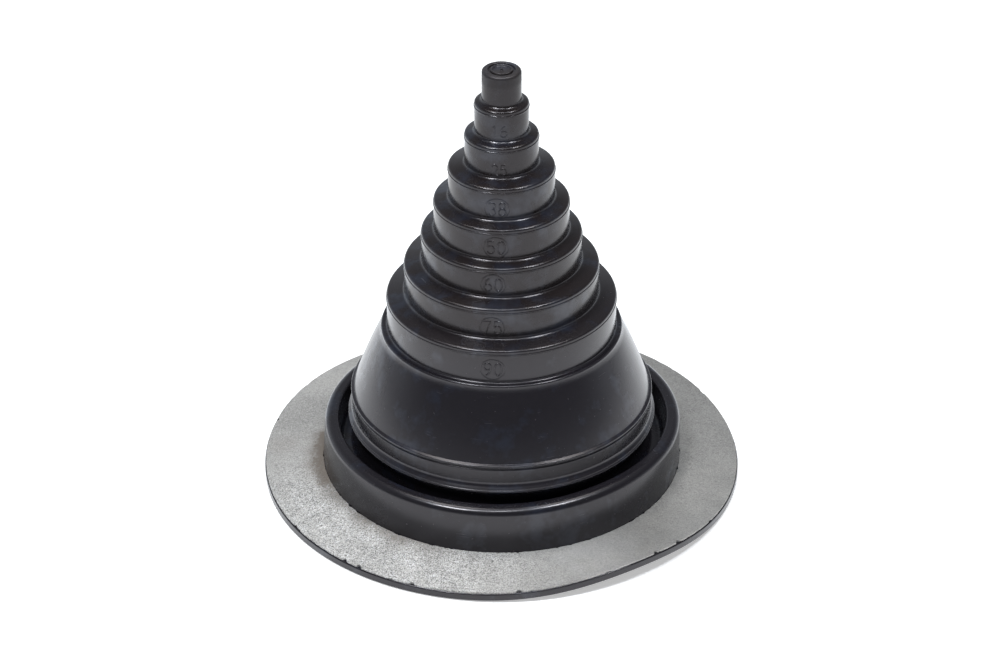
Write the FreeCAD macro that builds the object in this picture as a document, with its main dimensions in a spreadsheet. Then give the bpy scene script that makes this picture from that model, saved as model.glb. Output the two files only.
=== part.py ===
import FreeCAD, Part
import Sketcher
import math
import os

# A pipe flashing boot for a roof. One rubber moulding stands on a round flange, and a soft metal
# sheet is bonded on the flange. The cone is a stack of steps, one for each pipe size: the fitter
# cuts it below the bead of the step that suits the pipe. Lengths are in millimetres, Z is up, and
# the origin is the centre of the circle on which the flange rests.

# Steps from the widest to the narrowest: letter, wall radius, rise from the ledge below.
STEPS = (
    ("g", 41.55, 12.95),
    ("f", 35.05, 13.05),
    ("e", 28.75, 12.80),
    ("d", 24.20, 12.90),
    ("c", 18.95, 13.40),
    ("b", 13.10, 12.90),
    ("a", 9.60, 12.20),
)

SIZES = [
    # rubber walls
    ("wall", 2.40),
    ("ledge_angle", 11.3),
    ("bead_proud", 0.35),
    ("bead_drop", 1.25),
    ("bead_height", 0.70),
    ("bead_edge", 0.20),
    ("ledge_bevel", 0.40),
    ("foot_bevel", 0.60),
    ("stub", 1.60),
    # closed nub on top
    ("nub_radius", 7.05),
    ("nub_rise", 12.20),
    ("nub_round", 1.70),
    ("cap_groove_radius", 4.80),
    ("cap_groove_width", 0.85),
    ("cap_groove_depth", 0.80),
    ("cap_ring_width", 0.75),
    ("cap_dish_depth", 0.50),
    ("pip_radius", 0.35),
    ("pip_height", 0.90),
    # bell under the steps
    ("shoulder_width", 2.30),
    ("shoulder_height", 1.30),
    ("bell_foot_radius", 54.20),
    ("bell_height", 26.00),
    ("bell_curve", 190.0),
    ("shoulder_bevel", 0.60),
    # band between the two rims at the foot of the bell
    ("rim_proud", 1.10),
    ("rim_height", 1.50),
    ("rim_edge", 0.35),
    ("band_proud", 0.70),
    ("band_height", 6.60),
    ("hem_proud", 2.40),
    ("hem_height", 1.60),
    ("hem_lift", 3.80),
    # fold between the bell and the collar
    ("groove_inset", 0.60),
    ("groove_width", 3.90),
    ("groove_depth", 9.60),
    ("groove_bevel", 1.00),
    ("fold_wall", 2.20),
    # hollow collar
    ("collar_height", 19.30),
    ("collar_wall", 2.00),
    ("recess_width", 1.10),
    ("collar_draft", 8.7),
    ("collar_round", 2.50),
    ("collar_inner_bevel", 0.40),
    # flange and the sheet on it
    ("flange_radius", 88.10),
    ("flange_thickness", 2.80),
    ("sheet_thickness", 0.60),
    ("sheet_margin", 0.40),
    ("sheet_clearance", 0.05),
    ("bond_line", 0.02),
    ("flange_dish", 2.30),
    # three places where the soft flange has lifted: azimuth from the front, height, spread
    ("lift_one_azimuth", 34.0),
    ("lift_one_height", 4.20),
    ("lift_one_spread", 24.0),
    ("lift_two_azimuth", 138.0),
    ("lift_two_height", 1.20),
    ("lift_two_spread", 26.0),
    ("lift_three_azimuth", 244.0),
    ("lift_three_height", 1.50),
    ("lift_three_spread", 26.0),
]
RIM_POINTS = 30


class Length:
    """A size with its value and the spreadsheet expression that drives it."""

    def __init__(self, value, text):
        self.value = value
        self.text = text

    def __add__(self, other):
        return Length(self.value + other.value, self.text + " + " + other.text)

    def __sub__(self, other):
        return Length(self.value - other.value, self.text + " - (" + other.text + ")")

    def __mul__(self, other):
        return Length(self.value * other.value, "(" + self.text + ") * (" + other.text + ")")

    def half(self):
        return Length(self.value / 2, "(" + self.text + ") / 2")


def sine(angle):
    return Length(math.sin(math.radians(angle.value)), "sin(%s * 1 deg)" % angle.text)


def cosine(angle):
    return Length(math.cos(math.radians(angle.value)), "cos(%s * 1 deg)" % angle.text)


def tangent(angle):
    return Length(math.tan(math.radians(angle.value)), "tan(%s * 1 deg)" % angle.text)


def reach(rounding, angle):
    """How far from an edge a rounding starts, where the sides meet at 90 degrees and this more."""
    factor = math.tan(math.radians(45 - angle.value / 2))
    return rounding * Length(factor, "tan(45 deg - %s / 2 * 1 deg)" % angle.text)


ZERO = Length(0.0, "0")


class Outline:
    """A closed half section, drawn corner by corner."""

    def __init__(self):
        self.corners = []
        self.curves = {}

    def to(self, *places):
        self.corners.extend(places)

    def arc_to(self, place, radius, hollow=False):
        """An arc from the last corner. Hollow means that it sags towards the axis."""
        self.curves[len(self.corners) - 1] = (radius, -1 if hollow else 1)
        self.corners.append(place)


def make_sheet(doc):
    """The spreadsheet that drives the model, and a lookup of its cells as lengths."""
    sheet = doc.addObject("Spreadsheet::Sheet", "Sizes")
    rows = list(SIZES)
    for letter, radius, rise in STEPS:
        rows.append(("radius_" + letter, radius))
        rows.append(("rise_" + letter, rise))
    for row, (name, value) in enumerate(rows, start=1):
        sheet.set("A%d" % row, name)
        sheet.set("B%d" % row, str(value))
        sheet.setAlias("B%d" % row, name)
    doc.recompute()
    return {name: Length(float(sheet.get(name)), "Sizes." + name) for name, value in rows}


def plane_of(body, role):
    for feature in body.Origin.OriginFeatures:
        if feature.Role == role:
            return feature
    raise RuntimeError("no plane " + role)


def draw_arc(sketch, start, stop, radius, side):
    """Add an arc that bulges away from the axis (side 1) or towards it (side -1). A sketch keeps
    arcs anticlockwise, so this says which end of the arc is the start of the side."""
    low, high = (start, stop) if start.y < stop.y else (stop, start)
    chord = high - low
    outward = FreeCAD.Vector(chord.y, -chord.x, 0).normalize()
    depth = math.sqrt(radius * radius - chord.Length ** 2 / 4)
    centre = (low + high) * 0.5 - outward * depth * side
    first, last = (low, high) if side > 0 else (high, low)
    begin = math.atan2(first.y - centre.y, first.x - centre.x)
    end = math.atan2(last.y - centre.y, last.x - centre.x)
    if end < begin:
        end += 2 * math.pi
    circle = Part.Circle(centre, FreeCAD.Vector(0, 0, 1), radius)
    sketch.addGeometry(Part.ArcOfCircle(circle, begin, end), False)
    return (1, 2) if first == start else (2, 1)


def revolve_outline(body, name, outline):
    """Turn a closed half section about Z. The spreadsheet drives every corner and every arc."""
    sketch = body.newObject("Sketcher::SketchObject", name + "_section")
    sketch.AttachmentSupport = [(plane_of(body, "XZ_Plane"), "")]
    sketch.MapMode = "FlatFace"
    count = len(outline.corners)
    points = [FreeCAD.Vector(radius.value, height.value, 0) for radius, height in outline.corners]
    ends = []
    for index in range(count):
        start, stop = points[index], points[(index + 1) % count]
        if index in outline.curves:
            curve, side = outline.curves[index]
            ends.append(draw_arc(sketch, start, stop, curve.value, side))
        else:
            sketch.addGeometry(Part.LineSegment(start, stop), False)
            ends.append((1, 2))
    rules, drivers = [], []
    for index, (radius, height) in enumerate(outline.corners):
        place = ends[index][0]
        rules.append(Sketcher.Constraint("DistanceX", -1, 1, index, place, radius.value))
        rules.append(Sketcher.Constraint("DistanceY", -1, 1, index, place, height.value))
        drivers += [radius.text, height.text]
    for index, (curve, side) in outline.curves.items():
        rules.append(Sketcher.Constraint("Radius", index, curve.value))
        drivers.append(curve.text)
    for index in range(count):
        after = (index + 1) % count
        rules.append(Sketcher.Constraint("Coincident", index, ends[index][1], after, ends[after][0]))
    sketch.addConstraint(rules)
    for index, driver in enumerate(drivers):
        sketch.setExpression("Constraints[%d]" % index, driver)
    turn = body.newObject("PartDesign::Revolution", name)
    turn.Profile = sketch
    turn.ReferenceAxis = (sketch, ["V_Axis"])
    turn.Angle = 360.0
    body.Document.recompute()
    return turn


def heights(size):
    """Levels that more than one section uses."""
    level = {}
    level["dish"] = size["flange_dish"]
    level["crown"] = level["dish"] + size["collar_height"]
    level["groove"] = level["crown"] - size["groove_depth"]
    level["web"] = level["groove"] - size["fold_wall"]
    level["hem"] = level["crown"] + size["hem_lift"]
    level["band"] = level["hem"] + size["hem_height"]
    level["rim"] = level["band"] + size["band_height"]
    level["bell_foot"] = level["rim"] + size["rim_height"]
    level["bell_top"] = level["bell_foot"] + size["bell_height"]
    return level


def skirt(body, size, level):
    """Bell, rims, fold and hollow collar in one closed section."""
    foot = size["bell_foot_radius"]
    band = foot + size["band_proud"]
    rim = foot + size["rim_proud"]
    hem = foot + size["hem_proud"]
    groove_in = foot + size["groove_inset"]
    groove_out = groove_in + size["groove_width"]
    recess_in = groove_out + size["collar_wall"]
    recess_out = recess_in + size["recess_width"]
    crown = recess_out + size["collar_wall"]
    seat = level["dish"] + size["flange_thickness"] + size["sheet_thickness"]
    draft = size["collar_draft"]
    collar_foot = crown + tangent(draft) * (level["crown"] - seat)
    inside = foot - size["wall"]
    step = size["radius_g"]
    shoulder = step + size["shoulder_width"]
    ceiling = level["bell_top"] - size["wall"]
    joint = level["bell_top"] + size["stub"]
    fillet = size["foot_bevel"]
    bend = size["groove_bevel"]
    lip = size["collar_inner_bevel"]
    turn_in = reach(size["collar_round"], draft)

    outline = Outline()
    outline.to((step - size["wall"], ceiling), (step - size["wall"], joint), (step, joint))
    outline.to((step, level["bell_top"] + fillet))
    outline.to((step + fillet, level["bell_top"]))
    outline.to((shoulder - size["shoulder_bevel"], level["bell_top"]))
    outline.to((shoulder, level["bell_top"] - size["shoulder_bevel"]))
    outline.to((shoulder, level["bell_top"] - size["shoulder_height"]))
    outline.arc_to((foot, level["bell_foot"]), size["bell_curve"])
    outline.to((rim, level["bell_foot"] - size["rim_edge"]), (rim, level["rim"]))
    outline.to((band, level["rim"] - size["rim_edge"]), (band, level["band"] + size["rim_edge"]))
    outline.to((hem, level["band"] - size["rim_edge"]), (hem, level["hem"]))
    outline.to((groove_in, level["hem"] - size["hem_height"]), (groove_in, level["groove"] + bend))
    outline.to((groove_in + bend, level["groove"]), (groove_out - bend, level["groove"]))
    outline.to((groove_out, level["groove"] + bend), (groove_out, level["crown"] - lip))
    outline.to((groove_out + lip, level["crown"]), (crown - turn_in, level["crown"]))
    across, down = turn_in * sine(draft), turn_in * cosine(draft)
    outline.arc_to((crown + across, level["crown"] - down), size["collar_round"])
    outline.to((collar_foot, seat), (collar_foot, level["dish"]))
    outline.to((collar_foot - size["collar_wall"], level["dish"]))
    outline.to((recess_out, level["crown"] - size["collar_wall"]))
    outline.to((recess_in, level["crown"] - size["collar_wall"]), (recess_in, level["web"]))
    outline.to((inside, level["web"]), (inside, level["bell_foot"]))
    outline.arc_to((shoulder - size["wall"], ceiling), size["bell_curve"])
    revolve_outline(body, "skirt", outline)
    return collar_foot, joint


def step_shell(body, size, letter, inner, below, start):
    """The wall, the bead and the sloping ledge of one step, with a stub of the wall above."""
    wall, radius, angle = size["wall"], size["radius_" + letter], size["ledge_angle"]
    top = below + size["rise_" + letter]
    bead_top = top - size["bead_drop"]
    bead_foot = bead_top - size["bead_height"]
    proud = radius + size["bead_proud"]
    foot = top + (radius - inner) * tangent(angle)
    joint = foot + size["stub"]
    edge, fillet = size["ledge_bevel"], size["foot_bevel"]

    outline = Outline()
    outline.to((radius, start), (radius, bead_foot), (proud, bead_foot + size["bead_edge"]))
    outline.to((proud, bead_top - size["bead_edge"]), (radius, bead_top), (radius, top - edge))
    outline.to((radius - edge * cosine(angle), top + edge * sine(angle)))
    outline.to((inner + fillet * cosine(angle), foot - fillet * sine(angle)))
    outline.to((inner, foot + fillet), (inner, joint), (inner - wall, joint), (inner - wall, foot - wall))
    outline.to((radius - wall, top - wall), (radius - wall, start))
    revolve_outline(body, "step_" + letter, outline)
    return top, joint


def nub(body, size, below, start):
    """The closed end of the cone, with a ring groove, a dish and a moulding pip on its face."""
    top = below + size["nub_rise"]
    groove_floor = top - size["cap_groove_depth"]
    dish = top - size["cap_dish_depth"]
    groove_out = size["cap_groove_radius"]
    groove_in = groove_out - size["cap_groove_width"]
    ring_in = groove_in - size["cap_ring_width"]
    radius, pip, edge = size["nub_radius"], size["pip_radius"], size["nub_round"]

    outline = Outline()
    outline.to((ZERO, groove_floor - size["wall"]), (radius - size["wall"], groove_floor - size["wall"]))
    outline.to((radius - size["wall"], start), (radius, start), (radius, top - edge))
    outline.arc_to((radius - edge, top), edge)
    outline.to((groove_out, top), (groove_out, groove_floor), (groove_in, groove_floor), (groove_in, top))
    outline.to((ring_in, top), (ring_in, dish), (pip, dish), (pip, dish + size["pip_height"]))
    outline.to((ZERO, dish + size["pip_height"]))
    revolve_outline(body, "nub", outline)


def stepped_cone(body, size, level, start):
    """Seven steps and the nub, each standing on the one below."""
    below = level["bell_top"]
    letters = [step[0] for step in STEPS]
    inners = ["radius_" + letter for letter in letters[1:]] + ["nub_radius"]
    for letter, inner in zip(letters, inners):
        below, start = step_shell(body, size, letter, size[inner], below, start)
    nub(body, size, below, start)


def lift_at(size, angle):
    """How far the rim of the flange stands off the roof at an azimuth in degrees."""
    total = 0.0
    for name in ("one", "two", "three"):
        away = (angle - size["lift_%s_azimuth" % name].value + 180.0) % 360.0 - 180.0
        spread = size["lift_%s_spread" % name].value
        total += size["lift_%s_height" % name].value * math.exp(-(away / spread) ** 2)
    return total


def warped_ring(doc, size, name, hub, inner, outer, lift, thickness):
    """A ring cut from the flange's gently warped surface. The surface is level at the collar and
    follows the lifted rim, with straight lines between."""
    rim = size["flange_radius"].value

    def loop(radius, label):
        points = []
        for step in range(RIM_POINTS):
            angle = 360.0 * step / RIM_POINTS
            share = (radius - hub) / (rim - hub)
            height = size["flange_dish"].value * (1 - share) + lift_at(size, angle) * share
            turn = math.radians(angle)
            points.append(FreeCAD.Vector(radius * math.sin(turn), -radius * math.cos(turn), height + lift))
        curve = Part.BSplineCurve()
        curve.interpolate(points, PeriodicFlag=True)
        item = doc.addObject("Part::Feature", name + label)
        item.Shape = curve.toShape()
        return item

    ruled = doc.addObject("Part::RuledSurface", name + "_surface")
    ruled.Curve1 = (loop(inner, "_inner_edge"), ["Edge1"])
    ruled.Curve2 = (loop(outer, "_outer_edge"), ["Edge1"])
    solid = doc.addObject("Part::Extrusion", name)
    solid.Base = ruled
    solid.Dir = FreeCAD.Vector(0, 0, 1)
    solid.setExpression("LengthFwd", thickness.text)
    solid.Solid = False
    return solid


def check(doc, labels):
    for item in doc.Objects:
        if "Invalid" in item.State or "Error" in item.State:
            raise RuntimeError("failed: " + item.Name)
    for label in labels:
        shape = doc.getObjectsByLabel(label)[0].Shape
        if shape.isNull() or not shape.isValid() or len(shape.Solids) != 1:
            raise RuntimeError("bad shape: " + label)


def main():
    doc = FreeCAD.newDocument("pipe_flashing_boot")
    size = make_sheet(doc)
    level = heights(size)

    body = doc.addObject("PartDesign::Body", "moulding")
    collar_foot, joint = skirt(body, size, level)
    stepped_cone(body, size, level, joint)

    hub = (collar_foot - size["collar_wall"].half()).value
    rubber = warped_ring(doc, size, "flange", hub, hub, size["flange_radius"].value, 0.0,
                         size["flange_thickness"])
    boot = doc.addObject("Part::MultiFuse", "boot")
    boot.Shapes = [body, rubber]
    boot.Label = "rubber_boot"
    boot.Placement = FreeCAD.Placement()

    bore = (collar_foot + size["sheet_clearance"]).value
    edge = (size["flange_radius"] - size["sheet_margin"]).value
    bed = (size["flange_thickness"] + size["bond_line"]).value
    sheet = warped_ring(doc, size, "sheet", hub, bore, edge, bed, size["sheet_thickness"])
    sheet.Label = "flange_sheet"
    sheet.Placement = FreeCAD.Placement()
    doc.recompute()

    labels = ("rubber_boot", "flange_sheet")
    check(doc, labels)
    os.makedirs("parts", exist_ok=True)
    for label in labels:
        shape = doc.getObjectsByLabel(label)[0].Shape
        shape.exportStep("parts/" + label + ".step")
        box = shape.BoundBox
        print(label, "volume %.1f" % shape.Volume, "height %.2f to %.2f" % (box.ZMin, box.ZMax))


main()
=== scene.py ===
"""Builds the looks of a stepped pipe flashing boot: black rubber on a round, metal-faced flange."""

import math
from collections import namedtuple
from types import SimpleNamespace

import bmesh
import bpy
import numpy as np
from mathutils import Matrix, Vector


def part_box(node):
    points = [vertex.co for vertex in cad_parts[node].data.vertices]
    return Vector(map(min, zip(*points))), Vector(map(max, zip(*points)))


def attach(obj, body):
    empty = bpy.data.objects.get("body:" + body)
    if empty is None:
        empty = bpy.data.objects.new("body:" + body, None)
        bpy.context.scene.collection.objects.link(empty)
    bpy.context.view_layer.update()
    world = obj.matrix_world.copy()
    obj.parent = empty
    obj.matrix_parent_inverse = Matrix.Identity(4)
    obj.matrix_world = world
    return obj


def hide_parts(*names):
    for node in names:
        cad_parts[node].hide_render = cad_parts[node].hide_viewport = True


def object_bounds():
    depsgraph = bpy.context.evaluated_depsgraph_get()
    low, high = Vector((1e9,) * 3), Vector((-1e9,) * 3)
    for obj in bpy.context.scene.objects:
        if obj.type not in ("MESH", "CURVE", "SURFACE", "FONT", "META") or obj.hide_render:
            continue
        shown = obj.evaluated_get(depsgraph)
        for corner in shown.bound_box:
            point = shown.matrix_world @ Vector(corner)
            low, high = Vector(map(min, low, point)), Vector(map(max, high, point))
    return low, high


bl_info = {
    "name": "Pipe Flashing Boot",
    "version": (1, 0, 0),
    "blender": (4, 5, 0),
    "location": "View3D > Sidebar > Flashing Boot",
    "description": "Moulded rubber roof boot with stepped pipe sizes and a bonded metal sheet",
    "category": "Object",
}

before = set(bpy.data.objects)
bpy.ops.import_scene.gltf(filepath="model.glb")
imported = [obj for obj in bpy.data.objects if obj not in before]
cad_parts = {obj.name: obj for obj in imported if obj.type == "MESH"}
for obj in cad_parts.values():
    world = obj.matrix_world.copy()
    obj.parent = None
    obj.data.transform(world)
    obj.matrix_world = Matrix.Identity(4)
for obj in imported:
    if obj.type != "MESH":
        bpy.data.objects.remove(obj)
CAD_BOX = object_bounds()
BOOT_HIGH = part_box("rubber_boot")[1]
SHEET_LOW, SHEET_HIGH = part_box("flange_sheet")
MM = 0.001

# The steps from the widest one up, in mm: wall radius, rise from the ledge below, the pipe it
# suits, and its number's place along the wall from the front, height above the wall's foot,
# scale (a share of the full height) and relief.
Step = namedtuple("Step", "radius rise text along above scale relief")
STEPS = (
    Step(41.55, 12.95, "90", -3.1, 5.6, 1.0, 0.24),
    Step(35.05, 13.05, "75", -3.3, 4.6, 1.0, 0.24),
    Step(28.75, 12.80, "60", -3.0, 5.2, 1.0, 0.24),
    Step(24.20, 12.90, "50", -2.0, 5.2, 1.0, 0.24),
    Step(18.95, 13.40, "38", -1.6, 4.6, 1.0, 0.22),
    Step(13.10, 12.90, "25", -0.9, 3.3, 0.82, 0.14),
    Step(9.60, 12.20, "16", -0.9, 4.2, 0.86, 0.10),
)

# The trim between the widest step and the collar, in mm.
SHOULDER_REACH = 2.3
SHOULDER_DROP = 1.3
RIM_HEIGHT = 1.5
BAND_HEIGHT = 6.6
HEM_HEIGHT = 1.6
HEM_ABOVE_CROWN = 3.8

# The folded groove and the hollow collar, in mm and measured out from the bell's foot.
GROOVE_INSIDE = 0.6
GROOVE_OUTSIDE = 4.5
GROOVE_DEPTH = 9.6
CREST_OUTSIDE = 9.6
FOLD_WALL = 2.2
COLLAR_WALL = 2.0
COLLAR_DRAFT = math.radians(8.7)

# The dimple in the closed end, in mm.
NUB_DIMPLE = 0.8

# The flange, its edge, and the sheet's seat on it, in mm.
FLANGE_RINGS = 8
EDGE_ROUND = 0.45
EDGE_LANDING = 2.0
HUB_INSET = 1.0
BORE_CLEARANCE = 0.05
SHEET_CLEARANCE = 0.02

# How rounded corners are drawn, in mm: the longest share of a side that a corner may use, the
# spare length from which a side counts as long, and how far along it its flat part is held.
CORNER_SHARE = 0.49
LONG_SIDE = 0.5
CORNER_HOLD = 0.06

# Where the soft flange has lifted off the roof: azimuth from the front in degrees, height in mm,
# spread in degrees.
LIFTS = ((34.0, 4.2, 24.0), (138.0, 1.2, 26.0), (244.0, 1.5, 26.0))

# Where the soft collar leans outwards: azimuth, reach at the crest and spread, in the same units.
# The lean grows from the collar's foot up, on what lies outside the groove and below the trim.
LEANS = ((-105.0, 1.6, 50.0), (105.0, 2.4, 55.0), (37.0, -1.6, 28.0))
LEAN_FOOT = 6.0
LEAN_RISE = 15.0
LEAN_INSIDE = 57.0
LEAN_TOP = 23.0

# The sheet's mesh, and its two cut edges: how far each wanders, its count of short nicks and
# their greatest depth. Lengths are in mm.
SHEET_COLUMNS = 1200
SHEET_RINGS = 12
SHEET_SEED = 7
INNER_CUT = (0.10, 34, 0.8)
OUTER_CUT = (0.08, 22, 0.5)

# Notches torn in the sheet's outer edge: azimuth in degrees, width and depth in mm.
NOTCHES = (
    (-104.1, 1.0, 0.8),
    (-58.0, 0.7, 0.5),
    (-39.4, 0.7, 0.9),
    (-35.2, 0.8, 1.0),
    (-21.0, 0.8, 0.7),
    (4.0, 0.9, 0.8),
    (38.6, 0.7, 0.9),
    (45.8, 0.8, 0.8),
    (118.0, 1.0, 0.7),
    (150.0, 0.9, 0.6),
    (207.0, 1.2, 0.8),
)

# Old marks on the sheet: azimuth in degrees, radius and size in mm, strength.
STAINS = (
    (-93.0, 81.5, 9.0, 0.30),
    (-88.0, 71.0, 4.0, 0.35),
    (-34.0, 68.3, 2.4, 0.70),
    (-30.8, 68.4, 1.6, 0.60),
    (-92.1, 68.6, 0.9, 0.90),
    (70.6, 70.9, 0.6, 0.95),
)

# Heights in metres over which the rubber's skin changes: collar to bell, bell to steps, and
# steps to the rough end of the nub.
COLLAR_FADE = (0.019, 0.024)
BELL_FADE = (0.060, 0.085)
NUB_FADE = (0.1575, 0.1605)
COLLAR_BLACK = (0.002, 0.002, 0.003, 1.0)

# The dark between the sheet's grains, and the pale colour of its flecks, which also paints sparkle and a
# glint.
GRAIN_DARK = (0.05, 0.05, 0.05, 1.0)
FLECK_AND_SPARKLE_BRIGHT = (0.92, 0.93, 0.96, 1.0)

# The lamps: name, place and size in metres, power in watts, colour.
COOL = (0.94, 0.97, 1.0)
WARM = (1.0, 0.96, 0.91)
LAMPS = (
    ("back_left", (-0.20, 0.42, 1.22), (0.36, 0.26), 2.2, WARM),
    ("back_right", (0.27, 0.44, 1.17), (0.30, 0.22), 1.2, WARM),
    ("front_left", (-0.40, -0.36, 1.21), (0.32, 0.20), 10.5, COOL),
    ("front_middle", (0.04, -0.42, 1.28), (0.26, 0.16), 3.0, COOL),
    ("front_right", (0.51, -0.14, 1.28), (0.28, 0.20), 7.0, COOL),
)
LAMP_AIM = Vector((0, 0, 0.07))

# The floor and the camera, in metres.
FLOOR_REACH = 4.0
FLOOR_GAP = 0.0002
CAMERA_ELEVATION = math.radians(31.7)
CAMERA_DISTANCE = 1.100
CAMERA_AIM = (-0.00055, 0.0562)
SENSOR_WIDTH = 36.0
VIEWS_PER_METRE = 2.745


# ---------------------------------------------------------------- settings


class BOOT_PG_sizes(bpy.types.PropertyGroup):
    """Sizes of the moulding and the sheet"""

    wall: bpy.props.FloatProperty(
        name="Wall", description="Rubber thickness of the cone",
        default=2.4 * MM, min=0.5 * MM, subtype="DISTANCE",
    )
    ledge_angle: bpy.props.FloatProperty(
        name="Ledge Fall", description="How far each ledge falls outwards",
        default=math.radians(11.3), subtype="ANGLE",
    )
    ledge_round: bpy.props.FloatProperty(
        name="Ledge Round", description="Radius of a ledge's edge",
        default=0.85 * MM, subtype="DISTANCE",
    )
    foot_round: bpy.props.FloatProperty(
        name="Foot Round", description="Fillet at a wall's foot",
        default=1.05 * MM, subtype="DISTANCE",
    )
    bead: bpy.props.FloatProperty(
        name="Cutting Bead", description="How proud the bead on a wall stands",
        default=0.22 * MM, subtype="DISTANCE",
    )
    bead_drop: bpy.props.FloatProperty(
        name="Bead Drop", description="From a ledge's edge down to its bead",
        default=1.25 * MM, subtype="DISTANCE",
    )
    bead_height: bpy.props.FloatProperty(
        name="Bead Height", description="Height of the bead",
        default=0.70 * MM, subtype="DISTANCE",
    )
    nub_radius: bpy.props.FloatProperty(
        name="Nub Radius", description="Radius of the closed end",
        default=7.05 * MM, subtype="DISTANCE",
    )
    nub_rise: bpy.props.FloatProperty(
        name="Nub Rise", description="Height of the closed end",
        default=12.20 * MM, subtype="DISTANCE",
    )
    bell_foot: bpy.props.FloatProperty(
        name="Bell Foot", description="Radius of the bell's foot",
        default=54.20 * MM, subtype="DISTANCE",
    )
    bell_height: bpy.props.FloatProperty(
        name="Bell Height", description="Height of the bell",
        default=26.0 * MM, subtype="DISTANCE",
    )
    bell_curve: bpy.props.FloatProperty(
        name="Bell Curve", description="Radius of the bell's bowed side",
        default=190.0 * MM, subtype="DISTANCE",
    )
    collar_height: bpy.props.FloatProperty(
        name="Collar Height", description="Height of the collar above the flange's dish",
        default=19.3 * MM, subtype="DISTANCE",
    )
    dish: bpy.props.FloatProperty(
        name="Dish", description="How far the flange's middle is raised",
        default=2.3 * MM, subtype="DISTANCE",
    )
    flange: bpy.props.FloatProperty(
        name="Flange Radius", description="Outer radius of the flange",
        default=BOOT_HIGH.x, subtype="DISTANCE",
    )
    flange_thickness: bpy.props.FloatProperty(
        name="Flange Rubber", description="Thickness of the rubber under the sheet",
        default=2.8 * MM, subtype="DISTANCE",
    )
    sheet_thickness: bpy.props.FloatProperty(
        name="Sheet", description="Thickness of the metal sheet",
        default=0.6 * MM, subtype="DISTANCE",
    )
    segments: bpy.props.IntProperty(
        name="Segments", description="Divisions of the moulding round its axis", default=200, min=24,
    )


class BOOT_PG_finish(bpy.types.PropertyGroup):
    """Colours of the rubber and the sheet"""

    rubber: bpy.props.FloatVectorProperty(
        name="Rubber", description="Colour of the moulded rubber",
        default=(0.0118, 0.0092, 0.0094), min=0, max=1, size=3, subtype="COLOR",
    )
    bloom: bpy.props.FloatVectorProperty(
        name="Bloom", description="Colour of the thin bluish bloom on the rubber",
        default=(0.0108, 0.0122, 0.0200), min=0, max=1, size=3, subtype="COLOR",
    )
    dust: bpy.props.FloatVectorProperty(
        name="Dust", description="Colour of the dry dust on the rubber",
        default=(0.20, 0.19, 0.18), min=0, max=1, size=3, subtype="COLOR",
    )
    metal: bpy.props.FloatVectorProperty(
        name="Metal", description="Colour of the dull metal sheet",
        default=(0.61, 0.595, 0.570), min=0, max=1, size=3, subtype="COLOR",
    )
    stain: bpy.props.FloatVectorProperty(
        name="Stain", description="Colour of the old stains on the sheet",
        default=(0.135, 0.105, 0.080), min=0, max=1, size=3, subtype="COLOR",
    )


def measured(group):
    """A group's sizes as plain numbers: lengths in mm, angles in radians."""
    values = {}
    for name in group.__annotations__:
        value = getattr(group, name)
        values[name] = value / MM if group.bl_rna.properties[name].unit == "LENGTH" else value
    return SimpleNamespace(**values)


# ---------------------------------------------------------------- shader maths


class Value:
    """A socket that can be used in a Python expression."""

    def __init__(self, finish, socket):
        self.finish = finish
        self.socket = socket

    def _math(self, operation, first, second):
        return self.finish.node("ShaderNodeMath", {"operation": operation}, {0: first, 1: second})

    def __add__(self, other):
        return self._math("ADD", self, other)

    def __sub__(self, other):
        return self._math("SUBTRACT", self, other)

    def __rsub__(self, other):
        return self._math("SUBTRACT", other, self)

    def __mul__(self, other):
        return self._math("MULTIPLY", self, other)

    def __truediv__(self, other):
        return self._math("DIVIDE", self, other)

    __radd__ = __add__
    __rmul__ = __mul__

    def least(self, other):
        return self._math("MINIMUM", self, other)

    def most(self, other):
        return self._math("MAXIMUM", self, other)

    def step(self, low, high):
        """0 below low, 1 above high, smooth between."""
        return self.finish.node(
            "ShaderNodeMapRange", {"interpolation_type": "SMOOTHSTEP"},
            {"Value": self, "From Min": low, "From Max": high, "To Min": 0.0, "To Max": 1.0},
        )


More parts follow.
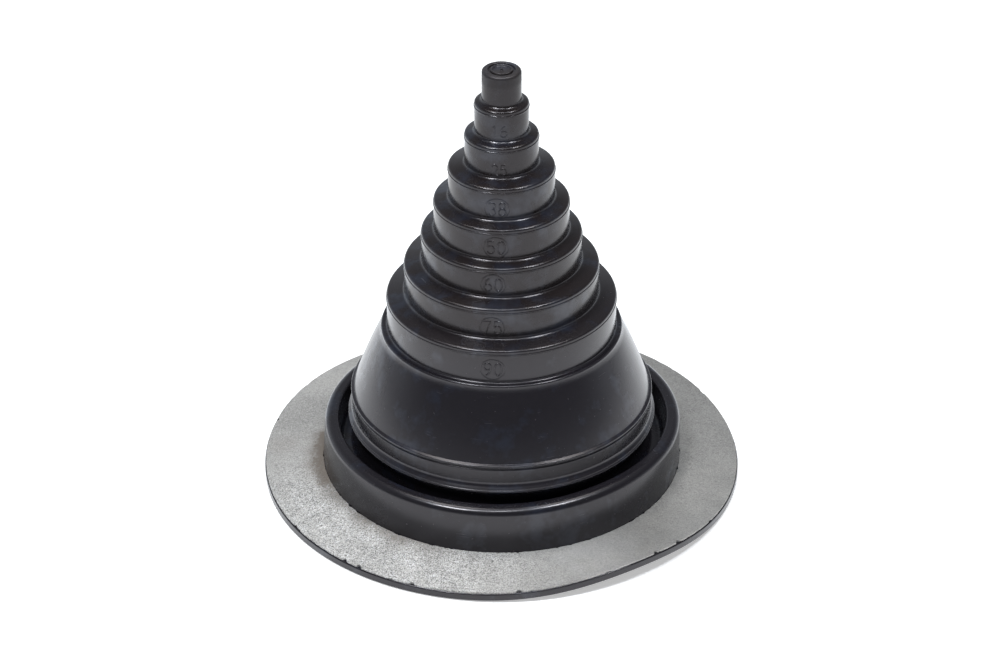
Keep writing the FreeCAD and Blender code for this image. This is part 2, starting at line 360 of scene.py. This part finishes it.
class Finish:
    """The nodes of a material or of the surroundings."""

    def __init__(self, owner):
        self.owner = owner
        owner.use_nodes = True
        self.tree = owner.node_tree
        self.tree.nodes.clear()

    def node(self, kind, settings, inputs, output=0):
        """One node: its type, its settings, and the values or links of its sockets."""
        made = self.tree.nodes.new(kind)
        for key, value in settings.items():
            setattr(made, key, value)
        for key, value in inputs.items():
            socket = made.inputs[key]
            if isinstance(value, Value):
                self.tree.links.new(value.socket, socket)
            else:
                socket.default_value = value
        return Value(self, made.outputs[output]) if len(made.outputs) else None

    def coordinate(self, kind):
        return self.node("ShaderNodeTexCoord", {}, {}, output=kind)

    def along(self, axis, vector):
        return self.node("ShaderNodeSeparateXYZ", {}, {0: vector}, output=axis)

    def stretched(self, vector, scale):
        return self.node("ShaderNodeMapping", {}, {"Vector": vector, "Scale": scale})

    def length(self, vector):
        return self.node("ShaderNodeVectorMath", {"operation": "LENGTH"}, {0: vector}, output="Value")

    def ray(self, kind):
        return self.node("ShaderNodeLightPath", {}, {}, output=kind)

    def noise(self, place, scale, detail, roughness):
        settings = {"noise_dimensions": "3D"}
        inputs = {"Vector": place, "Scale": scale, "Detail": detail, "Roughness": roughness}
        return self.node("ShaderNodeTexNoise", settings, inputs)

    def mix(self, factor, first, second):
        """Two colours mixed. The Mix node's colour sockets are told apart by number only."""
        settings = {"data_type": "RGBA"}
        return self.node("ShaderNodeMix", settings, {0: factor, 6: first, 7: second}, output=2)

    def spot(self, place, centre, radius, ragged=0.0):
        """1 near a point and 0 past the radius, with a ragged edge where asked."""
        settings = {"operation": "DISTANCE"}
        away = self.node("ShaderNodeVectorMath", settings, {0: place, 1: centre}, output="Value")
        return 1 - (away / radius + ragged).step(0.35, 1.0)

    def surface(self, inputs, height, strength, distance):
        """Close a material with a Principled shader and a bump of the given height."""
        bump = {"Height": height, "Strength": strength, "Distance": distance}
        inputs["Normal"] = self.node("ShaderNodeBump", {}, bump)
        shader = self.node("ShaderNodeBsdfPrincipled", {}, inputs)
        self.node("ShaderNodeOutputMaterial", {}, {"Surface": shader})
        return self.owner


def colour(rgb):
    return (rgb[0], rgb[1], rgb[2], 1.0)


def on_flange(azimuth, radius):
    """A point just above the sheet's foot, from its azimuth from the front and its radius in mm."""
    turn = math.radians(azimuth)
    return (radius * MM * math.sin(turn), -radius * MM * math.cos(turn), SHEET_LOW.z + 0.002)


def rubber_finish(look):
    """Moulded rubber: a satin skin with cloudy bloom, rubbed streaks, fine grain and pale specks."""
    rubber = Finish(bpy.data.materials.new("moulded_rubber"))
    place = rubber.coordinate("Object")
    cloud = rubber.noise(place, 42.0, 4.0, 0.6)
    patch = rubber.noise(place, 130.0, 3.0, 0.55)
    grain = rubber.noise(place, 1500.0, 2.0, 0.5)
    specks = rubber.noise(place, 900.0, 1.0, 0.4).step(0.74, 0.80)
    streaks = rubber.noise(rubber.stretched(place, (1.0, 1.0, 22.0)), 120.0, 3.0, 0.6)
    rubbed = streaks.step(0.60, 0.74) * patch.step(0.5, 0.7)
    height = rubber.along("Z", place)
    collar = 1 - height.step(*COLLAR_FADE)
    low = 1 - height.step(*BELL_FADE)
    top = height.step(*NUB_FADE)
    bloom = (cloud * 0.55 + patch * 0.45).step(0.46, 0.66).most(low * 0.30)
    base = rubber.mix(bloom, colour(look.rubber), colour(look.bloom))
    base = rubber.mix(specks * 0.05 + rubbed * 0.06, base, colour(look.dust))
    base = rubber.mix(collar * 0.30, base, COLLAR_BLACK)
    roughness = 0.19 + low * 0.03 + top * 0.30 + rubbed * 0.16 + specks * 0.08
    skin = {
        "Base Color": base,
        "Roughness": roughness,
        "IOR": 1.47,
        "Coat Weight": bloom * 0.50,
        "Coat Roughness": 0.28,
        "Coat Tint": (0.90, 0.94, 1.0, 1.0),
        "Specular Tint": (1.0, 0.955, 0.99, 1.0),
    }
    return rubber.surface(skin, grain, strength=0.015, distance=0.0001)


def sheet_stain(metal, place, cloud, patch):
    """Old stains: faint clouds, a dirty band near the collar's foot, and single marks."""
    from_axis = metal.length(metal.stretched(place, (1.0, 1.0, 0.0)))
    near_foot = 1 - (from_axis + (patch - 0.5) * 0.006).step(0.0665, 0.0765)
    corner = metal.spot(place, on_flange(-84.0, 66.0), 0.030, (patch - 0.5) * 0.8)
    front_left = metal.spot(place, on_flange(-50.0, 66.0), 0.062)
    stain = (cloud.step(0.56, 0.72) * 0.14).most(near_foot * (corner * 1.05).most(front_left * 0.62))
    for azimuth, radius, reach, strength in STAINS:
        mark = metal.spot(place, on_flange(azimuth, radius), reach * MM, patch - 0.5)
        stain = stain.most(mark * strength)
    return stain


def metal_finish(look):
    """Dull soft sheet: crystal grain with a painted highlight and painted sparkle on the front left, a
    painted glint on the front right, smoother and worn on the right.
    """
    metal = Finish(bpy.data.materials.new("dull_sheet"))
    place = metal.coordinate("Object")
    cloud = metal.noise(place, 36.0, 4.0, 0.6)
    patch = metal.noise(place, 150.0, 3.0, 0.6)
    grain = metal.noise(place, 2000.0, 2.0, 0.6)
    crystal = metal.noise(place, 800.0, 2.0, 0.6)
    glint = metal.noise(place, 2300.0, 1.0, 0.5)
    # Painted highlight: where the front-left lamp's highlight falls on the sheet, the tone is made
    # lighter, the grain more contrasty and the flecks many more.
    lit_grain_side = metal.spot(place, on_flange(-38.0, 76.0), 0.075, (cloud - 0.5) * 0.6)
    right = metal.along("X", place).step(-0.02, 0.06)

    # Pale crystal flecks, sparse all over; the many more on the lit front left are painted sparkle.
    fleck_and_sparkle = glint.step(0.53, 0.64) * (0.12 + lit_grain_side * 0.9 * patch.step(0.2, 0.75))
    # Painted reflection: a pale bluish-white glint patch on the front right of the sheet.
    painted_glint = metal.spot(place, on_flange(27.0, 76.0), 0.024, (patch - 0.5) * 1.4 + (cloud - 0.5))
    # Real grain, with extra contrast on the lit front left as painted sparkle.
    grain_and_sparkle = (grain - 0.5) * (0.9 + lit_grain_side * 1.4) + (crystal - 0.5) * (0.3 + lit_grain_side * 0.6)
    # Random worn tone, with extra mottle on the lit front left as painted light.
    wear_and_lit_mottle = (cloud - 0.5) * 0.42 + (patch - 0.5) * lit_grain_side * 0.25
    # The tone is lighter on the lit front left: painted highlight.
    tone = 0.50 + lit_grain_side * 0.10 + right * 0.08 + wear_and_lit_mottle + grain_and_sparkle
    stain = sheet_stain(metal, place, cloud, patch)
    pitting = ((grain - 0.5) * 1.5 + (crystal - 0.5) * 1.1) * stain.step(0.05, 0.4)
    rust = (stain * 1.1 + pitting).step(0.45, 1.05)

    base = metal.mix(tone.least(1.0), GRAIN_DARK, colour(look.metal))
    # Flecks with painted sparkle, and the painted glint, lighten the base colour.
    base = metal.mix((fleck_and_sparkle * 0.7).most(painted_glint * 0.14), base, FLECK_AND_SPARKLE_BRIGHT)
    base = metal.mix((rust * 0.80).most(stain * 0.42), base, colour(look.stain))
    skin = {
        "Base Color": base,
        "Roughness": 0.57 - right * 0.09 + (patch - 0.5) * 0.16 - fleck_and_sparkle * 0.12 + stain * 0.1,
        "Metallic": 0.40 + right * 0.42,
        "IOR": 1.45,
    }
    return metal.surface(skin, crystal * 0.4 + grain, strength=0.8, distance=0.0001)


# ---------------------------------------------------------------- shapes


def rise_at(azimuth, bumps):
    """The sum of smooth bumps at an azimuth in radians, in mm."""
    total = 0.0
    for centre, height, spread in bumps:
        away = (math.degrees(azimuth) - centre + 180.0) % 360.0 - 180.0
        total += height * math.exp(-((away / spread) ** 2))
    return total


def turned(arm, angle):
    """An arm of an arc turned by an angle, as a pair."""
    cosine, sine = math.cos(angle), math.sin(angle)
    return (arm.x * cosine - arm.y * sine, arm.x * sine + arm.y * cosine)


def soften(path, fineness=4.0):
    """Round the corners of a path of (radius, height, rounding), and keep its long sides flat."""
    points = []
    for index, (r, z, rounding) in enumerate(path):
        here = Vector((r, z))
        if rounding <= 0 or index in (0, len(path) - 1):
            points.append(here)
            continue
        back = Vector(path[index - 1][:2]) - here
        ahead = Vector(path[index + 1][:2]) - here
        corner = back.angle(ahead)
        longest = min(back.length * CORNER_SHARE, ahead.length * CORNER_SHARE)
        reach = min(rounding / math.tan(corner / 2), longest)
        rounding = reach * math.tan(corner / 2)
        pieces = 1 + round(min(rounding, 1.0) * fineness)
        long_back = back.length > reach + LONG_SIDE
        long_ahead = ahead.length > reach + LONG_SIDE
        back.normalize()
        ahead.normalize()
        centre = here + (back + ahead).normalized() * math.hypot(reach, rounding)
        start, stop = here + back * reach - centre, here + ahead * reach - centre
        sweep = start.angle_signed(stop)
        if long_back:
            points.append(here + back * (reach + CORNER_HOLD))
        for piece in range(pieces + 1):
            points.append(centre + Vector(turned(start, -sweep * piece / pieces)))
        if long_ahead:
            points.append(here + ahead * (reach + CORNER_HOLD))
    return points


def bell_side(top, foot, curve):
    """Points down the bowed side of the bell, without its ends."""
    pieces = 14
    chord = Vector(foot) - Vector(top)
    middle = (Vector(foot) + Vector(top)) / 2
    outward = Vector((-chord.y, chord.x)).normalized()
    depth = math.sqrt(curve ** 2 - chord.length ** 2 / 4)
    centre = middle - outward * depth
    start, stop = Vector(top) - centre, Vector(foot) - centre
    sweep = start.angle_signed(stop)
    points = []
    for piece in range(1, pieces):
        across, up = turned(start, -sweep * piece / pieces)
        points.append((centre.x + across, centre.y + up, 0))
    return points


Levels = namedtuple("Levels", "crown hem band rim foot bell_top")


def levels(size):
    """Heights that the section and the numbers share, from the collar's crown up."""
    crown = size.dish + size.collar_height
    hem = crown + HEM_ABOVE_CROWN
    band = hem + HEM_HEIGHT
    rim = band + BAND_HEIGHT
    foot = rim + RIM_HEIGHT
    return Levels(crown, hem, band, rim, foot, foot + size.bell_height)


def seat_height(size):
    """Height of the sheet's top face at the collar."""
    return size.dish + size.flange_thickness + size.sheet_thickness


def collar_radius(size):
    """Radius of the collar where it meets the sheet."""
    height = levels(size).crown - seat_height(size)
    return size.bell_foot + CREST_OUTSIDE + math.tan(COLLAR_DRAFT) * height


def flange_share(radius, hub, rim):
    """0 at the flange's hub, 1 at its rim, which follows the whole lift."""
    return min(max((radius - hub) / (rim - hub), 0.0), 1.0)


def nub_end(size, top):
    """The closed end: a small pip in a dimple, a ring about it, and the rounded edge."""
    low = top - NUB_DIMPLE
    return [
        (0, top + 0.35, 0), (0.28, top + 0.32, 0.12), (0.42, top - 0.5, 0.15),
        (3.2, top - 0.5, 0.25), (3.32, top, 0.2), (3.9, top, 0.2), (4.0, low, 0.15),
        (4.75, low, 0.15), (4.9, top - 0.1, 0.2), (size.nub_radius - 0.1, top - 0.1, 2.3),
    ]


def step_walls(size, bell_top):
    """The ledges and walls of the steps from the narrowest down, with the bead on each wall."""
    slope = math.tan(size.ledge_angle)
    tops, level = [], bell_top
    for step in STEPS:
        level += step.rise
        tops.append(level)
    path, inner = [], size.nub_radius
    for step, level in reversed(list(zip(STEPS, tops))):
        bead_top = level - size.bead_drop
        bead_foot = bead_top - size.bead_height
        proud = step.radius + size.bead
        path += [
            (inner, level + (step.radius - inner) * slope, size.foot_round),
            (step.radius, level, size.ledge_round),
            (step.radius, bead_top, 0.12), (proud, bead_top - 0.16, 0.16),
            (proud, bead_foot + 0.16, 0.16), (step.radius, bead_foot, 0.12),
        ]
        inner = step.radius
    return path


def trim_and_collar(size, level):
    """From the bell's foot down over two rims and the band, through the groove and over the crest."""
    base = size.bell_foot
    crown, hem, band, rim, foot = level.crown, level.hem, level.band, level.rim, level.foot
    groove_floor = crown - GROOVE_DEPTH
    return [
        (base, foot, 0.15), (base + 1.1, foot - 0.35, 0.3), (base + 1.1, rim + 0.5, 0.25),
        (base + 0.5, rim, 0.2), (base + 0.5, rim - 0.25, 0.12), (base + 0.95, rim - 0.6, 0.3),
        (base + 0.7, band - 0.1, 2.6), (base + 2.0, hem + 0.2, 0.3), (base + 1.95, hem - 0.2, 0.1),
        (base + 2.4, hem - 0.55, 0.35), (base + 2.2, hem - 1.3, 0.4),
        (base + GROOVE_INSIDE, hem - 2.2, 0.9), (base + GROOVE_INSIDE, groove_floor, 1.2),
        (base + GROOVE_OUTSIDE, groove_floor, 1.2), (base + GROOVE_OUTSIDE, crown, 0.9),
        (base + CREST_OUTSIDE, crown, 2.6),
    ]


def outer_path(size):
    """The visible section, from the top of the nub down to the crest of the collar."""
    level = levels(size)
    widest = STEPS[0].radius
    shoulder = widest + SHOULDER_REACH
    drop = level.bell_top - SHOULDER_DROP
    path = nub_end(size, level.bell_top + sum(step.rise for step in STEPS) + size.nub_rise)
    path += step_walls(size, level.bell_top)
    path += [(widest, level.bell_top, 0.7), (shoulder, level.bell_top, 0.75), (shoulder, drop, 0)]
    path += bell_side((shoulder, drop), (size.bell_foot, level.foot), size.bell_curve)
    return path + trim_and_collar(size, level)


def inner_path(size):
    """The hidden section, from the flange's underside up the inside of the cone."""
    level = levels(size)
    slope = math.tan(size.ledge_angle)
    base, wall = size.bell_foot, size.wall
    bell_inside = base - wall
    collar_top = level.crown - COLLAR_WALL
    groove_wall = base + GROOVE_OUTSIDE + COLLAR_WALL
    fold = level.crown - GROOVE_DEPTH - FOLD_WALL
    shoulder = (STEPS[0].radius + SHOULDER_REACH - wall, level.bell_top - wall)
    path = [
        (collar_radius(size) - COLLAR_WALL, size.dish, 0.3),
        (base + CREST_OUTSIDE - COLLAR_WALL, collar_top, 0.4), (groove_wall, collar_top, 0.4),
        (groove_wall, fold, 0.6), (bell_inside, fold, 0.6), (bell_inside, level.foot, 0.5),
    ]
    path += reversed(bell_side(shoulder, (bell_inside, level.foot), size.bell_curve))
    path += [(*shoulder, 0.4), (STEPS[0].radius - wall, level.bell_top - wall + 0.01, 0)]
    ledge = level.bell_top
    for step, above in zip(STEPS, [step.radius for step in STEPS[1:]] + [size.nub_radius]):
        ledge += step.rise
        path.append((step.radius - wall, ledge - wall, 0.4))
        path.append((above - wall, ledge + (step.radius - above) * slope - wall, 0.4))
    roof = ledge + size.nub_rise - NUB_DIMPLE - wall
    return path + [(size.nub_radius - wall, roof, 0.5), (0, roof, 0)]


def flange_skin(size, radius):
    """The flange from the collar's foot over its rim and back below, as (radius, height, share)."""
    hub, rim = radius - HUB_INSET, size.flange
    thickness = size.flange_thickness
    across = [hub + (rim - hub) * ring / FLANGE_RINGS for ring in range(1, FLANGE_RINGS)]
    inset = rim - EDGE_LANDING
    corners = [(inset, thickness, 0), (rim, thickness, EDGE_ROUND), (rim, 0, EDGE_ROUND), (inset, 0, 0)]
    edge = soften(corners, fineness=8.0)
    skin = [(r, thickness) for r in across if r > radius + 0.3]
    skin += [(point.x, point.y) for point in edge]
    skin += [(r, 0.0) for r in reversed(across)]
    section = []
    for r, over in skin:
        share = flange_share(r, hub, rim)
        section.append((r, size.dish * (1 - share) + over, share))
    return section


def leaning(radii, heights, shares):
    """How much of the collar's lean each point takes: 0 at the collar's foot, 1 near its crest."""
    on_collar = (radii > LEAN_INSIDE) & (heights < LEAN_TOP) & (shares == 0)
    return np.clip((heights - LEAN_FOOT) / LEAN_RISE, 0, 1) * on_collar


def lathe(name, section, segments):
    """Turn a section of (radius, height, flange share) about Z. Points with a share follow the
    lifted rim by that much, and the collar leans with the soft rubber."""
    radii, heights, shares = np.array(section).T
    azimuth = np.arange(segments) * 2 * math.pi / segments
    lift = np.array([rise_at(angle, LIFTS) for angle in azimuth])
    lean = np.array([rise_at(angle, LEANS) for angle in azimuth])
    reach = (radii[:, None] + leaning(radii, heights, shares)[:, None] * lean[None, :]) * MM
    x = reach * np.sin(azimuth)[None, :]
    y = -reach * np.cos(azimuth)[None, :]
    z = (heights[:, None] + shares[:, None] * lift[None, :]) * MM
    vertices = np.stack([x, y, z], axis=-1).reshape(-1, 3)
    faces = []
    for row in range(len(section) - 1):
        low, high = row * segments, (row + 1) * segments
        for column in range(segments):
            after = (column + 1) % segments
            faces.append((low + column, high + column, high + after, low + after))
    mesh = bpy.data.meshes.new(name)
    mesh.from_pydata(vertices.tolist(), [], faces)
    work = bmesh.new()
    work.from_mesh(mesh)
    bmesh.ops.remove_doubles(work, verts=work.verts, dist=0.002 * MM)
    bmesh.ops.recalc_face_normals(work, faces=work.faces)
    for face in work.faces:
        face.smooth = True
    work.to_mesh(mesh)
    work.free()
    return mesh


def ragged(chance, wander, nicks, depth):
    """How far a cut edge of the sheet falls short at each column, in mm: low waves and nicks."""
    edge = np.zeros(SHEET_COLUMNS)
    around = np.arange(SHEET_COLUMNS) * 2 * math.pi / SHEET_COLUMNS
    for wave in range(20, 160, 13):
        edge += np.sin(around * wave + chance.uniform(0, 6.3)) * wander / 5
    edge = np.abs(edge)
    for _ in range(nicks):
        place, width = chance.integers(SHEET_COLUMNS), chance.integers(1, 4)
        for offset in range(-width, width + 1):
            bite = depth * chance.uniform(0.4, 1.0) * (1 - abs(offset) / (width + 1))
            edge[(place + offset) % SHEET_COLUMNS] += bite * 0.6
    return edge


def notched(edge_radius):
    """How deep the torn notches cut the sheet's outer edge at each column, in mm."""
    cut = np.zeros(SHEET_COLUMNS)
    azimuth = np.arange(SHEET_COLUMNS) * 360 / SHEET_COLUMNS
    for centre, width, depth in NOTCHES:
        away = np.abs((azimuth - centre + 180) % 360 - 180)
        cut += depth * np.exp(-((np.radians(away) * edge_radius / width) ** 4))
    return cut


def sheet_mesh(size):
    """The flat ring between its ragged bore and its notched edge, following the flange."""
    radius = collar_radius(size)
    hub, rim = radius - HUB_INSET, size.flange
    chance = np.random.default_rng(SHEET_SEED)
    low = radius + BORE_CLEARANCE + ragged(chance, *INNER_CUT)
    edge = SHEET_HIGH.x / MM
    high = edge - ragged(chance, *OUTER_CUT) - notched(edge)
    bed = size.flange_thickness + SHEET_CLEARANCE
    vertices, faces = [], []
    for over in (bed + size.sheet_thickness, bed):
        for ring in range(SHEET_RINGS + 1):
            for column in range(SHEET_COLUMNS):
                turn = 2 * math.pi * column / SHEET_COLUMNS
                r = low[column] + (high[column] - low[column]) * ring / SHEET_RINGS
                share = flange_share(r, hub, rim)
                z = size.dish * (1 - share) + rise_at(turn, LIFTS) * share + over
                vertices.append((r * MM * math.sin(turn), -r * MM * math.cos(turn), z * MM))
    under = (SHEET_RINGS + 1) * SHEET_COLUMNS
    last = SHEET_RINGS * SHEET_COLUMNS
    for column in range(SHEET_COLUMNS):
        after = (column + 1) % SHEET_COLUMNS
        for a in range(0, last, SHEET_COLUMNS):
            b = a + SHEET_COLUMNS
            faces.append((a + column, b + column, b + after, a + after))
            faces.append((under + a + after, under + b + after, under + b + column, under + a + column))
        faces.append((last + column, under + last + column, under + last + after, last + after))
        faces.append((after, under + after, under + column, column))
    mesh = bpy.data.meshes.new("metal_sheet")
    mesh.from_pydata(vertices, [], faces)
    return mesh


def placed(name, data):
    """A new object that holds the data, in the scene."""
    piece = bpy.data.objects.new(name, data)
    bpy.context.scene.collection.objects.link(piece)
    return piece


# ---------------------------------------------------------------- strokes of the numbers


def bend(cx, cy, rx, ry, start, stop, pieces=14):
    """Points along part of an ellipse, in degrees."""
    points = []
    for piece in range(pieces + 1):
        angle = math.radians(start + (stop - start) * piece / pieces)
        points.append((cx + rx * math.cos(angle), cy + ry * math.sin(angle)))
    return points


# The numerals as strokes about their middles, and the strokes' radius and spacing, in mm.
DIGITS = {
    "0": [bend(0, 0, 1.15, 2.2, 0, 360, 26)],
    "1": [[(-0.6, 1.5), (0.15, 2.2), (0.15, -2.2)]],
    "2": [bend(0, 1.0, 1.15, 1.2, 165, -35) + [(-1.15, -2.2), (1.15, -2.2)]],
    "3": [bend(0, 1.1, 1.05, 1.1, 150, -90), bend(0, -1.1, 1.15, 1.1, 90, -150)],
    "5": [[(1.0, 2.2), (-0.8, 2.2), (-1.0, 0.35)] + bend(0, -0.8, 1.15, 1.4, 130, -150)],
    "6": [bend(0, -1.0, 1.15, 1.2, 0, 360, 22), bend(0.9, -0.9, 2.05, 3.1, 180, 100, 10)],
    "7": [[(-1.15, 2.2), (1.15, 2.2), (-0.4, -2.2)]],
    "8": [bend(0, 1.15, 0.95, 1.05, 0, 360, 20), bend(0, -1.1, 1.15, 1.1, 0, 360, 20)],
    "9": [bend(0, 1.0, 1.15, 1.2, 0, 360, 22), bend(-0.9, 0.9, 2.05, 3.1, 0, -80, 10)],
}
STROKE = 0.30
DIGIT_PITCH = 3.7
DIGIT_WIDTH = 1.1
DIGIT_HEIGHT = 1.12

# The thin ring about each full-size number: its half width, half height and relief.
RING_WIDTH = 4.3
RING_HEIGHT = 4.1
RING_RELIEF = 0.09


def on_wall(stroke, reach, foot):
    """Wrap a flat stroke round a wall, in metres."""
    points = []
    for along, above in stroke:
        turn = along / reach
        points.append((reach * MM * math.sin(turn), -reach * MM * math.cos(turn), (foot + above) * MM))
    return points


def number_strokes(size):
    """Every stroke of the moulded numbers, as points on the walls in metres."""
    strokes = []
    slope = math.tan(size.ledge_angle)
    ledge, ledge_radius = levels(size).bell_top, None
    for step in STEPS:
        foot = ledge if ledge_radius is None else ledge + (ledge_radius - step.radius) * slope
        for place, digit in enumerate(step.text):
            centre = step.along + (place - 0.5) * DIGIT_PITCH * step.scale
            wide, high = DIGIT_WIDTH * step.scale, DIGIT_HEIGHT * step.scale
            for stroke in DIGITS[digit]:
                flat = [(centre + x * wide, step.above + y * high) for x, y in stroke]
                strokes.append(on_wall(flat, step.radius + step.relief - STROKE, foot))
        if step.scale == 1.0:
            ring = bend(step.along, step.above, RING_WIDTH, RING_HEIGHT, 0, 360, 48)
            strokes.append(on_wall(ring, step.radius + RING_RELIEF - STROKE, foot))
        ledge += step.rise
        ledge_radius = step.radius
    return strokes


# ---------------------------------------------------------------- operators


class BOOT_OT_moulding(bpy.types.Operator):
    """Make the one-piece rubber moulding: nub, steps, bell, folded collar and flange"""

    bl_idname = "boot.moulding"
    bl_label = "Rubber Moulding"
    bl_options = {"UNDO"}

    def execute(self, context):
        size = measured(context.scene.boot_sizes)
        radius = collar_radius(size)
        outside = soften(outer_path(size) + [(radius, seat_height(size), 0)])
        section = [(point.x, point.y, 0.0) for point in outside]
        section.append((radius, size.dish + size.flange_thickness, 0.0))
        section += flange_skin(size, radius)
        section += [(point.x, point.y, 0.0) for point in soften(inner_path(size), fineness=1.0)]
        boot = placed("boot_moulding", lathe("boot_moulding", section, size.segments))
        boot.data.materials.append(rubber_finish(context.scene.boot_finish))
        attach(boot, "root")
        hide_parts("rubber_boot")
        return {"FINISHED"}


class BOOT_OT_numbers(bpy.types.Operator):
    """Raise the pipe sizes on the walls of the steps"""

    bl_idname = "boot.numbers"
    bl_label = "Step Numbers"
    bl_options = {"UNDO"}

    def execute(self, context):
        curve = bpy.data.curves.new("number_strokes", "CURVE")
        curve.dimensions = "3D"
        curve.bevel_depth = STROKE * MM
        curve.bevel_resolution = 2
        curve.use_fill_caps = True
        for stroke in number_strokes(measured(context.scene.boot_sizes)):
            spline = curve.splines.new("POLY")
            spline.points.add(len(stroke) - 1)
            for point, place in zip(spline.points, stroke):
                point.co = (*place, 1.0)
        holder = placed("number_curve", curve)
        mesh = bpy.data.meshes.new_from_object(holder)
        bpy.data.objects.remove(holder)
        numbers = placed("step_numbers", mesh)
        mesh.materials.clear()
        mesh.materials.append(bpy.data.materials["moulded_rubber"])
        for face in mesh.polygons:
            face.use_smooth = True
        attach(numbers, "root")
        return {"FINISHED"}


class BOOT_OT_sheet(bpy.types.Operator):
    """Lay the metal sheet on the rubber flange, with its roughly cut edges"""

    bl_idname = "boot.sheet"
    bl_label = "Metal Sheet"
    bl_options = {"UNDO"}

    def execute(self, context):
        sheet = placed("metal_sheet", sheet_mesh(measured(context.scene.boot_sizes)))
        sheet.data.materials.append(metal_finish(context.scene.boot_finish))
        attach(sheet, "root")
        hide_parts("flange_sheet")
        return {"FINISHED"}


class BOOT_OT_stage(bpy.types.Operator):
    """Set out the floor, the studio lights and the camera"""

    bl_idname = "boot.stage"
    bl_label = "Stage"
    bl_options = {"UNDO"}

    def execute(self, context):
        self.floor()
        self.surroundings(context.scene)
        for name, place, size, power, tint in LAMPS:
            self.lamp(name, place, size, power, tint)
        self.camera(context.scene)
        context.scene.view_settings.view_transform = "Standard"
        return {"FINISHED"}

    def floor(self):
        """A pale floor that keeps the object's shadow. It looks white to the camera, and glows
        close to the object for what mirrors it."""
        corners = [(x * FLOOR_REACH, y * FLOOR_REACH, 0) for x, y in ((-1, -1), (1, -1), (1, 1), (-1, 1))]
        mesh = bpy.data.meshes.new("floor")
        mesh.from_pydata(corners, [], [(0, 1, 2, 3)])
        floor = placed("floor", mesh)
        floor.location.z = CAD_BOX[0][2] - FLOOR_GAP
        paint = Finish(bpy.data.materials.new("pale_floor"))
        away = paint.length(paint.coordinate("Object"))
        seen = paint.ray("Is Camera Ray") * (0.45 + away.step(0.4, 2.0) * 0.6)
        mirrored = paint.ray("Is Glossy Ray").most(paint.ray("Is Transmission Ray"))
        mirrored = mirrored * (1 - away.step(0.12, 0.50)) * 0.42
        glow = {"Color": (1, 1, 1, 1), "Strength": seen + mirrored}
        matt = paint.node("ShaderNodeBsdfDiffuse", {}, {"Color": (0.80, 0.80, 0.80, 1)})
        shine = paint.node("ShaderNodeEmission", {}, glow)
        both = paint.node("ShaderNodeAddShader", {}, {0: matt, 1: shine})
        paint.node("ShaderNodeOutputMaterial", {}, {"Surface": both})
        mesh.materials.append(paint.owner)

    def surroundings(self, scene):
        """White to the camera. What lights the object is a bright sweep behind and low round the
        sides, and a panel straight overhead; the rest is dim."""
        scene.world = bpy.data.worlds.new("studio")
        sky = Finish(scene.world)
        heading = sky.coordinate("Generated")
        side, behind, above = (sky.along(axis, heading) for axis in "XYZ")
        sweep = behind.step(-0.55, 0.45) * (1 - above.step(0.0, 0.68 - side * 0.28))
        sweep = sweep.most((1 - above.step(-0.05, 0.22)) * 0.38)
        sweep = sweep.most(above.step(0.84, 0.92))
        glow = {"Color": (0.87, 0.93, 1.0, 1), "Strength": 0.11 + sweep * 0.84}
        around = sky.node("ShaderNodeBackground", {}, glow)
        bright = sky.node("ShaderNodeBackground", {}, {"Color": (1, 1, 1, 1), "Strength": 1.0})
        seen = sky.ray("Is Camera Ray")
        shown = sky.node("ShaderNodeMixShader", {}, {0: seen, 1: around, 2: bright})
        sky.node("ShaderNodeOutputWorld", {}, {"Surface": shown})

    def lamp(self, name, place, size, power, tint):
        """A soft rectangular lamp that faces the object."""
        data = bpy.data.lights.new(name, "AREA")
        data.shape = "RECTANGLE"
        data.size, data.size_y = size
        data.energy = power
        data.color = tint
        lamp = placed(name, data)
        lamp.location = place
        lamp.rotation_euler = (LAMP_AIM - Vector(place)).to_track_quat("-Z", "Y").to_euler()

    def camera(self, scene):
        """A long lens from the front, well above the flange."""
        aside, aim = CAMERA_AIM
        back = CAMERA_DISTANCE * math.cos(CAMERA_ELEVATION)
        up = CAMERA_DISTANCE * math.sin(CAMERA_ELEVATION)
        data = bpy.data.cameras.new("camera")
        data.sensor_width = SENSOR_WIDTH
        data.lens = SENSOR_WIDTH * VIEWS_PER_METRE * CAMERA_DISTANCE
        data.clip_end = 20.0
        camera = placed("camera", data)
        camera.location = (aside, -back, aim + up)
        camera.rotation_euler = (math.pi / 2 - CAMERA_ELEVATION, 0, 0)
        scene.camera = camera


class BOOT_PT_panel(bpy.types.Panel):
    """Lists the sizes, the colours and the steps of the build in the sidebar"""

    bl_idname = "BOOT_PT_panel"
    bl_label = "Flashing Boot"
    bl_space_type = "VIEW_3D"
    bl_region_type = "UI"
    bl_category = "Flashing Boot"

    def draw(self, context):
        for group in (context.scene.boot_sizes, context.scene.boot_finish):
            for name in group.__annotations__:
                self.layout.prop(group, name)
        for operator in OPERATORS:
            self.layout.operator(operator.bl_idname)


OPERATORS = (BOOT_OT_stage, BOOT_OT_moulding, BOOT_OT_numbers, BOOT_OT_sheet)
CLASSES = (BOOT_PG_sizes, BOOT_PG_finish, *OPERATORS, BOOT_PT_panel)


def register():
    for each in CLASSES:
        bpy.utils.register_class(each)
    bpy.types.Scene.boot_sizes = bpy.props.PointerProperty(type=BOOT_PG_sizes)
    bpy.types.Scene.boot_finish = bpy.props.PointerProperty(type=BOOT_PG_finish)


def unregister():
    del bpy.types.Scene.boot_finish
    del bpy.types.Scene.boot_sizes
    for each in reversed(CLASSES):
        bpy.utils.unregister_class(each)


def main():
    register()
    bpy.ops.boot.stage()
    bpy.ops.boot.moulding()
    bpy.ops.boot.numbers()
    bpy.ops.boot.sheet()


if __name__ == "__main__":
    main()
